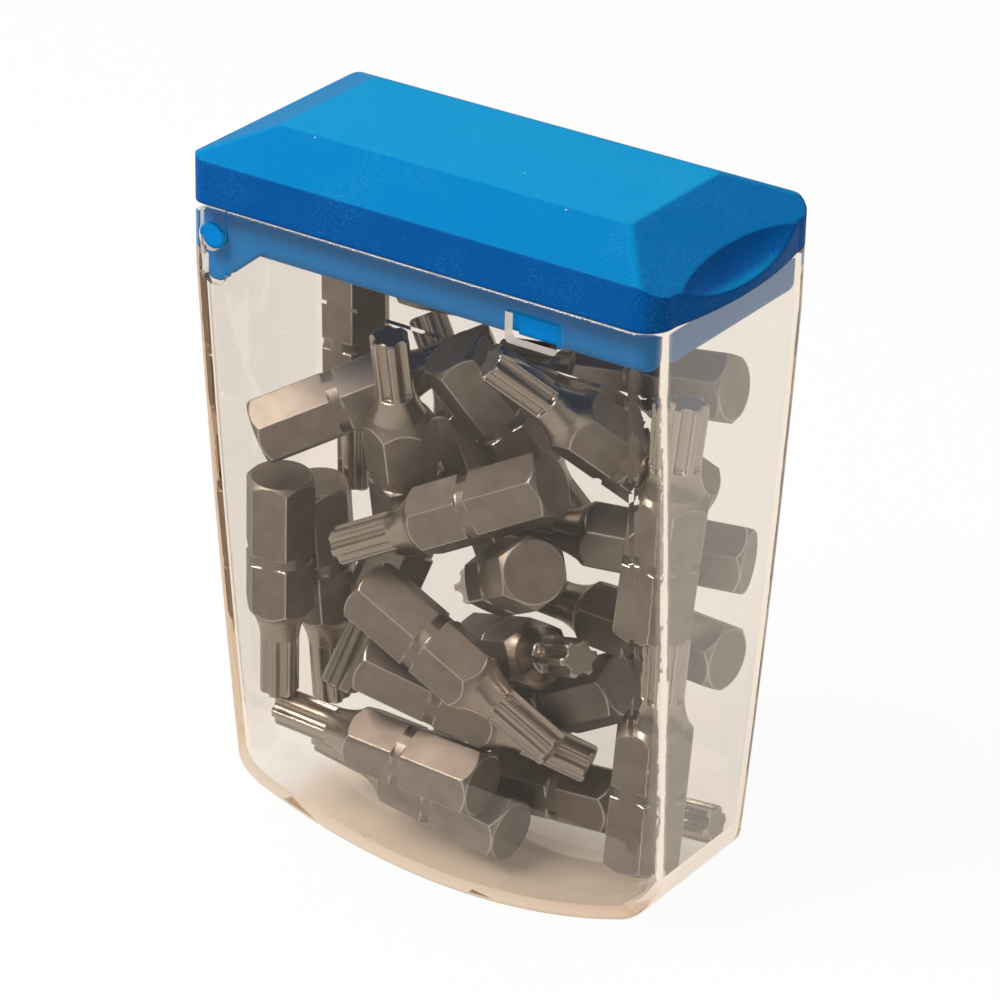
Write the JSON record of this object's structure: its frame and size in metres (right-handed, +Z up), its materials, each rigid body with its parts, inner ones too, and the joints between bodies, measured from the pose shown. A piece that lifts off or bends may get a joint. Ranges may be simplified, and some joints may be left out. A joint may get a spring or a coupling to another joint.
{
  "type": "flip-top tub of screwdriver insert bits",
  "caption": "Clear tapered flip-top tub with a blue hinged lid, filled with loose star-tip insert bits; the lid swings up about pins at one end.",
  "frame": {"origin": "lowest line of the curved bottom, midway along the tub and midway between its broad faces", "axes": "+Z up from the bottom to the lid, +X along the broad faces from the hinge end to the thumb lip, -Y towards the front broad face"},
  "size_m": [0.0544, 0.0278, 0.0767],
  "materials": {
    "clear_plastic": "clear moulded polystyrene, gloss",
    "lid_plastic": "blue moulded polypropylene, semi-gloss",
    "bit_steel": "satin grey-brown tool steel"
  },
  "bodies": {
    "tub": {"tub": "clear_plastic", "bit_01": "bit_steel", "bit_02": "bit_steel", "bit_03": "bit_steel", "bit_04": "bit_steel", "bit_05": "bit_steel", "bit_06": "bit_steel", "bit_07": "bit_steel", "bit_08": "bit_steel", "bit_09": "bit_steel", "bit_10": "bit_steel", "bit_11": "bit_steel", "bit_12": "bit_steel", "bit_13": "bit_steel", "bit_14": "bit_steel", "bit_15": "bit_steel", "bit_16": "bit_steel", "bit_17": "bit_steel", "bit_18": "bit_steel", "bit_19": "bit_steel", "bit_20": "bit_steel", "bit_21": "bit_steel", "bit_22": "bit_steel", "bit_23": "bit_steel", "bit_24": "bit_steel"},
    "lid": {"lid": "lid_plastic"}
  },
  "joints": [
    {"name": "lid_hinge", "type": "hinge", "parent": "tub", "child": "lid", "pos_m": [-0.0239, 0, 0.0662], "axis": [0, -1, 0], "range_deg": [0, 100]}
  ]
}
